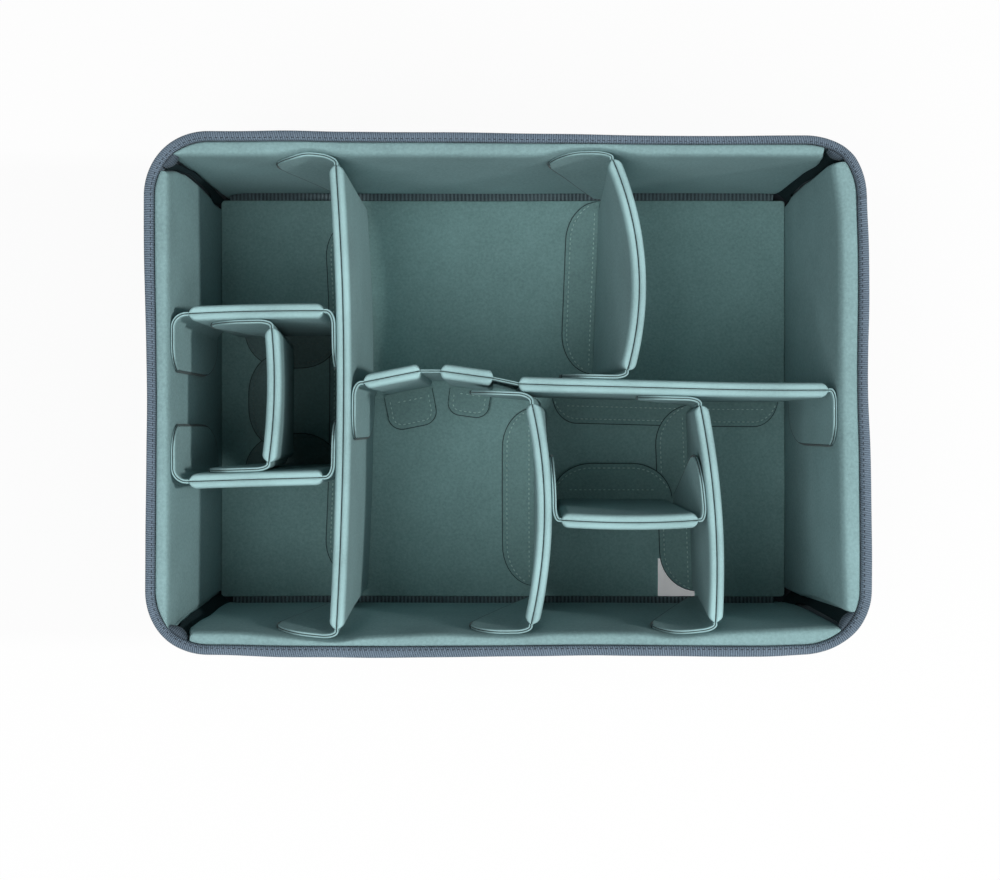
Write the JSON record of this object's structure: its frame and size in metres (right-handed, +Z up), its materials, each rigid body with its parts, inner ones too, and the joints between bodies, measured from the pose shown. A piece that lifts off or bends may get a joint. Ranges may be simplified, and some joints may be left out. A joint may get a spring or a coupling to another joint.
{
  "type": "camera bag insert",
  "caption": "Open-top padded box insert with a bound rim and soft dividers held by wrap-around hook-and-loop tabs and floor flaps, for sorting camera gear inside a bag.",
  "frame": {"origin": "middle of the footprint, on the surface that the insert stands on", "axes": "+X to the right along the long side, +Y to the back, +Z up out of the open top"},
  "size_m": [0.4, 0.289, 0.165],
  "materials": {
    "lining": "brushed",
    "shell": "woven",
    "binding": "ribbed",
    "tape": "ribbed"
  },
  "bodies": {
    "box": {"side_shell": "shell", "base_shell": "shell", "rim_binding": "binding", "back_wall_pad": "lining", "front_wall_pad": "lining", "left_wall_pad": "lining", "right_wall_pad": "lining", "floor_pad": "lining", "back_floor_tape": "tape", "front_floor_tape": "tape", "back_left_corner_tape": "tape", "back_right_corner_tape": "tape", "front_left_corner_tape": "tape", "front_right_corner_tape": "tape"},
    "long_divider": {"long_divider_pad": "lining", "long_divider_flap": "lining"},
    "long_divider_back_tab": {"long_divider_back_tab": "lining"},
    "long_divider_front_tab": {"long_divider_front_tab": "lining"},
    "box_back_divider": {"box_back_divider_pad": "lining", "box_back_divider_flap": "lining"},
    "box_back_divider_left_tab": {"box_back_divider_left_tab": "lining"},
    "box_back_divider_right_tab": {"box_back_divider_right_tab": "lining"},
    "box_front_divider": {"box_front_divider_pad": "lining", "box_front_divider_flap": "lining"},
    "box_front_divider_left_tab": {"box_front_divider_left_tab": "lining"},
    "box_front_divider_right_tab": {"box_front_divider_right_tab": "lining"},
    "box_middle_divider": {"box_middle_divider_pad": "lining"},
    "box_middle_divider_back_tab": {"box_middle_divider_back_tab": "lining"},
    "box_middle_divider_front_tab": {"box_middle_divider_front_tab": "lining"},
    "box_middle_divider_flap": {"box_middle_divider_flap": "lining"},
    "sectional_divider": {"sectional_divider_right_pad": "lining", "sectional_divider_right_web": "lining", "sectional_divider_right_flap": "lining"},
    "back_divider": {"back_divider_pad": "lining"},
    "back_divider_back_tab": {"back_divider_back_tab": "lining"},
    "back_divider_front_tab": {"back_divider_front_tab": "lining"},
    "back_divider_flap": {"back_divider_flap": "lining"},
    "front_left_divider": {"front_left_divider_pad": "lining"},
    "front_left_divider_back_tab": {"front_left_divider_back_tab": "lining"},
    "front_left_divider_front_tab": {"front_left_divider_front_tab": "lining"},
    "front_left_divider_flap": {"front_left_divider_flap": "lining"},
    "front_right_divider": {"front_right_divider_pad": "lining", "front_right_divider_flap": "lining"},
    "front_right_divider_back_tab": {"front_right_divider_back_tab": "lining"},
    "front_right_divider_front_tab": {"front_right_divider_front_tab": "lining"},
    "cross_divider": {"cross_divider_pad": "lining"},
    "cross_divider_left_tab": {"cross_divider_left_tab": "lining"},
    "cross_divider_right_tab": {"cross_divider_right_tab": "lining"},
    "cross_divider_flap": {"cross_divider_flap": "lining"},
    "sectional_divider_middle": {"sectional_divider_middle_pad": "lining", "sectional_divider_left_web": "lining"},
    "sectional_divider_left": {"sectional_divider_left_pad": "lining"},
    "sectional_divider_left_tab": {"sectional_divider_left_tab": "lining"},
    "sectional_divider_right_tab": {"sectional_divider_right_tab": "lining"},
    "sectional_divider_left_flap": {"sectional_divider_left_flap": "lining"},
    "sectional_divider_middle_flap": {"sectional_divider_middle_flap": "lining"}
  },
  "joints": [
    {"name": "long_divider_lift", "type": "slide", "parent": "box", "child": "long_divider", "axis": [0, 0, 1], "range_m": [0, 0.16]},
    {"name": "box_back_divider_lift", "type": "slide", "parent": "long_divider", "child": "box_back_divider", "axis": [0, 0, 1], "range_m": [0, 0.16]},
    {"name": "box_front_divider_lift", "type": "slide", "parent": "box_back_divider", "child": "box_front_divider", "axis": [0, 0, 1], "range_m": [0, 0.16]},
    {"name": "box_middle_divider_lift", "type": "slide", "parent": "box_front_divider", "child": "box_middle_divider", "axis": [0, 0, 1], "range_m": [0, 0.16]},
    {"name": "sectional_divider_lift", "type": "slide", "parent": "box", "child": "sectional_divider", "axis": [0, 0, 1], "range_m": [0, 0.16]},
    {"name": "back_divider_lift", "type": "slide", "parent": "box", "child": "back_divider", "axis": [0, 0, 1], "range_m": [0, 0.16]},
    {"name": "front_left_divider_lift", "type": "slide", "parent": "sectional_divider", "child": "front_left_divider", "axis": [-0.0256, 0, 0.9997], "range_m": [0, 0.16]},
    {"name": "front_right_divider_lift", "type": "slide", "parent": "sectional_divider", "child": "front_right_divider", "axis": [0, 0, 1], "range_m": [0, 0.16]},
    {"name": "cross_divider_lift", "type": "slide", "parent": "front_right_divider", "child": "cross_divider", "axis": [0, 0, 1], "range_m": [0, 0.16]},
    {"name": "long_divider_back_tab_hinge", "type": "hinge", "parent": "long_divider", "child": "long_divider_back_tab", "pos_m": [-0.09423, 0.1265, 0.03], "axis": [0, 0, 1], "range_deg": [0, 50]},
    {"name": "long_divider_front_tab_hinge", "type": "hinge", "parent": "long_divider", "child": "long_divider_front_tab", "pos_m": [-0.09423, -0.1265, 0.03], "axis": [0, 0, -1], "range_deg": [0, 50]},
    {"name": "box_back_divider_left_tab_hinge", "type": "hinge", "parent": "box_back_divider", "child": "box_back_divider_left_tab", "pos_m": [-0.1771, 0.04364, 0.037], "axis": [0, 0.0019, 1], "range_deg": [0, 70]},
    {"name": "box_back_divider_right_tab_hinge", "type": "hinge", "parent": "box_back_divider", "child": "box_back_divider_right_tab", "pos_m": [-0.10013, 0.04531, 0.037], "axis": [0, -0.0012, -1], "range_deg": [0, 45]},
    {"name": "box_front_divider_left_tab_hinge", "type": "hinge", "parent": "box_front_divider", "child": "box_front_divider_left_tab", "pos_m": [-0.1771, -0.04876, 0.037], "axis": [0, 0, -1], "range_deg": [0, 70]},
    {"name": "box_front_divider_right_tab_hinge", "type": "hinge", "parent": "box_front_divider", "child": "box_front_divider_right_tab", "pos_m": [-0.10016, -0.04665, 0.037], "axis": [0, 0, 1], "range_deg": [0, 45]},
    {"name": "box_middle_divider_back_tab_hinge", "type": "hinge", "parent": "box_middle_divider", "child": "box_middle_divider_back_tab", "pos_m": [-0.14112, 0.03632, 0.03], "axis": [0.0839, 0.0069, 0.9964], "range_deg": [0, 50]},
    {"name": "box_middle_divider_front_tab_hinge", "type": "hinge", "parent": "box_middle_divider", "child": "box_middle_divider_front_tab", "pos_m": [-0.14127, -0.03963, 0.03], "axis": [-0.0747, -0.0019, -0.9972], "range_deg": [0, 50]},
    {"name": "back_divider_back_tab_hinge", "type": "hinge", "parent": "back_divider", "child": "back_divider_back_tab", "pos_m": [0.06444, 0.1265, 0.03], "axis": [-0.0478, 0, 0.9989], "range_deg": [0, 50]},
    {"name": "back_divider_front_tab_hinge", "type": "hinge", "parent": "back_divider", "child": "back_divider_front_tab", "pos_m": [0.06134, 0.01159, 0.03], "axis": [-0.0403, 0.0009, -0.9992], "range_deg": [0, 50]},
    {"name": "front_left_divider_back_tab_hinge", "type": "hinge", "parent": "front_left_divider", "child": "front_left_divider_back_tab", "pos_m": [0.02197, -0.00511, 0.03], "axis": [-0.0625, 0.0026, 0.998], "range_deg": [0, 60]},
    {"name": "front_left_divider_front_tab_hinge", "type": "hinge", "parent": "front_left_divider", "child": "front_left_divider_front_tab", "pos_m": [0.0219, -0.1265, 0.03], "axis": [0.0671, 0, -0.9977], "range_deg": [0, 50]},
    {"name": "front_right_divider_back_tab_hinge", "type": "hinge", "parent": "front_right_divider", "child": "front_right_divider_back_tab", "pos_m": [0.12042, -0.00594, 0.03], "axis": [-0.1029, 0.0017, 0.9947], "range_deg": [0, 50]},
    {"name": "front_right_divider_front_tab_hinge", "type": "hinge", "parent": "front_right_divider", "child": "front_right_divider_front_tab", "pos_m": [0.12523, -0.1265, 0.03], "axis": [0.0747, 0, -0.9972], "range_deg": [0, 50]},
    {"name": "cross_divider_left_tab_hinge", "type": "hinge", "parent": "cross_divider", "child": "cross_divider_left_tab", "pos_m": [0.03092, -0.06993, 0.03], "axis": [0.0143, 0.0021, -0.9999], "range_deg": [0, 50]},
    {"name": "cross_divider_right_tab_hinge", "type": "hinge", "parent": "cross_divider", "child": "cross_divider_right_tab", "pos_m": [0.10725, -0.06993, 0.03], "axis": [0, -0.0021, 1], "range_deg": [0, 50]},
    {"name": "sectional_divider_left_tab_hinge", "type": "hinge", "parent": "sectional_divider_left", "child": "sectional_divider_left_tab", "pos_m": [-0.08007, 0.00568, 0.037], "axis": [0, 0, 1], "range_deg": [0, 45]},
    {"name": "sectional_divider_right_tab_hinge", "type": "hinge", "parent": "sectional_divider", "child": "sectional_divider_right_tab", "pos_m": [0.1793, 0.0017, 0.037], "axis": [0, 0, -1], "range_deg": [0, 50]},
    {"name": "sectional_fold", "type": "hinge", "parent": "sectional_divider", "child": "sectional_divider_middle", "pos_m": [-0.00622, 0.00802, 0.0168], "axis": [0, 0, 1], "range_deg": [-35, 0]},
    {"name": "sectional_counter_fold", "type": "hinge", "parent": "sectional_divider_middle", "child": "sectional_divider_left", "pos_m": [-0.04629, 0.0121, 0.0168], "axis": [0, 0, 1], "range_deg": [0, 70]},
    {"name": "box_middle_divider_flap_hinge", "type": "hinge", "parent": "box_middle_divider", "child": "box_middle_divider_flap", "pos_m": [-0.14646, 0.02893, 0.018], "axis": [0, 1, 0], "range_deg": [0, 70]},
    {"name": "back_divider_flap_hinge", "type": "hinge", "parent": "back_divider", "child": "back_divider_flap", "pos_m": [0.06135, 0.12836, 0.015], "axis": [0.0397, 0.9992, 0], "range_deg": [0, 70]},
    {"name": "front_left_divider_flap_hinge", "type": "hinge", "parent": "front_left_divider", "child": "front_left_divider_flap", "pos_m": [0.01905, -0.00645, 0.015], "axis": [0, 1, 0], "range_deg": [0, 70]},
    {"name": "cross_divider_flap_hinge", "type": "hinge", "parent": "cross_divider", "child": "cross_divider_flap", "pos_m": [0.03001, -0.06594, 0.018], "axis": [1, 0, 0], "range_deg": [0, 70]},
    {"name": "sectional_divider_left_flap_hinge", "type": "hinge", "parent": "sectional_divider_left", "child": "sectional_divider_left_flap", "pos_m": [-0.0768, 0.0023, 0.015], "axis": [-0.981, -0.194, 0], "range_deg": [0, 70]},
    {"name": "sectional_divider_middle_flap_hinge", "type": "hinge", "parent": "sectional_divider_middle", "child": "sectional_divider_middle_flap", "pos_m": [-0.03543, 0.00803, 0.0165], "axis": [-0.9913, 0.1319, 0], "range_deg": [0, 70]}
  ],
  "couplings": [
    {"joint": "sectional_counter_fold", "follows": "sectional_fold", "ratio": -2}
  ]
}
